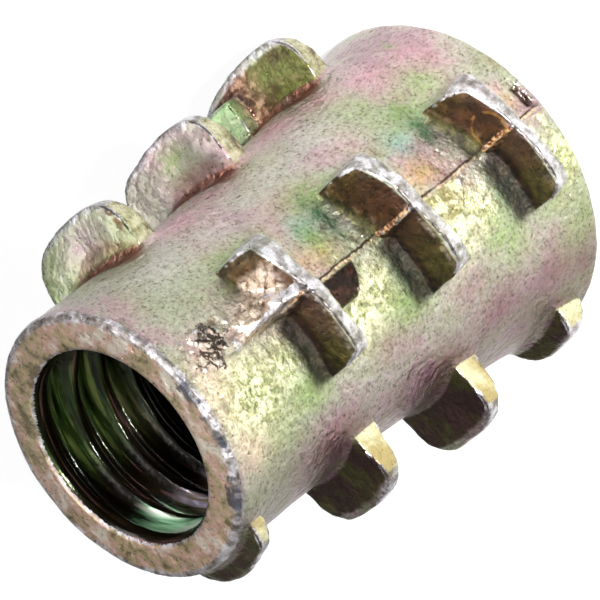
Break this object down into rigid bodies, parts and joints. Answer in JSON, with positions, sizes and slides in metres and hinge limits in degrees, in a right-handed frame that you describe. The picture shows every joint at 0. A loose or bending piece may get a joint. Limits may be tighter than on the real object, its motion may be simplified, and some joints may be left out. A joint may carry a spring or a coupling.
{
  "type": "threaded insert",
  "caption": "Die-cast zinc wood insert with an M6 threaded bore, a hex drive socket and rows of outer fins set on a coarse helix.",
  "frame": {"origin": "centre of the drive end's face, which the insert stands on", "axes": "+Z along the bore axis, from the drive end to the threaded mouth; -Y towards the parting line with the gate mark"},
  "size_m": [0.0106, 0.0104, 0.013],
  "materials": {
    "insert_body": "yellow iridescent chromate over cast zinc, worn to bare metal at the edges"
  },
  "bodies": {
    "root": {"insert_body": "insert_body"}
  },
  "joints": []
}
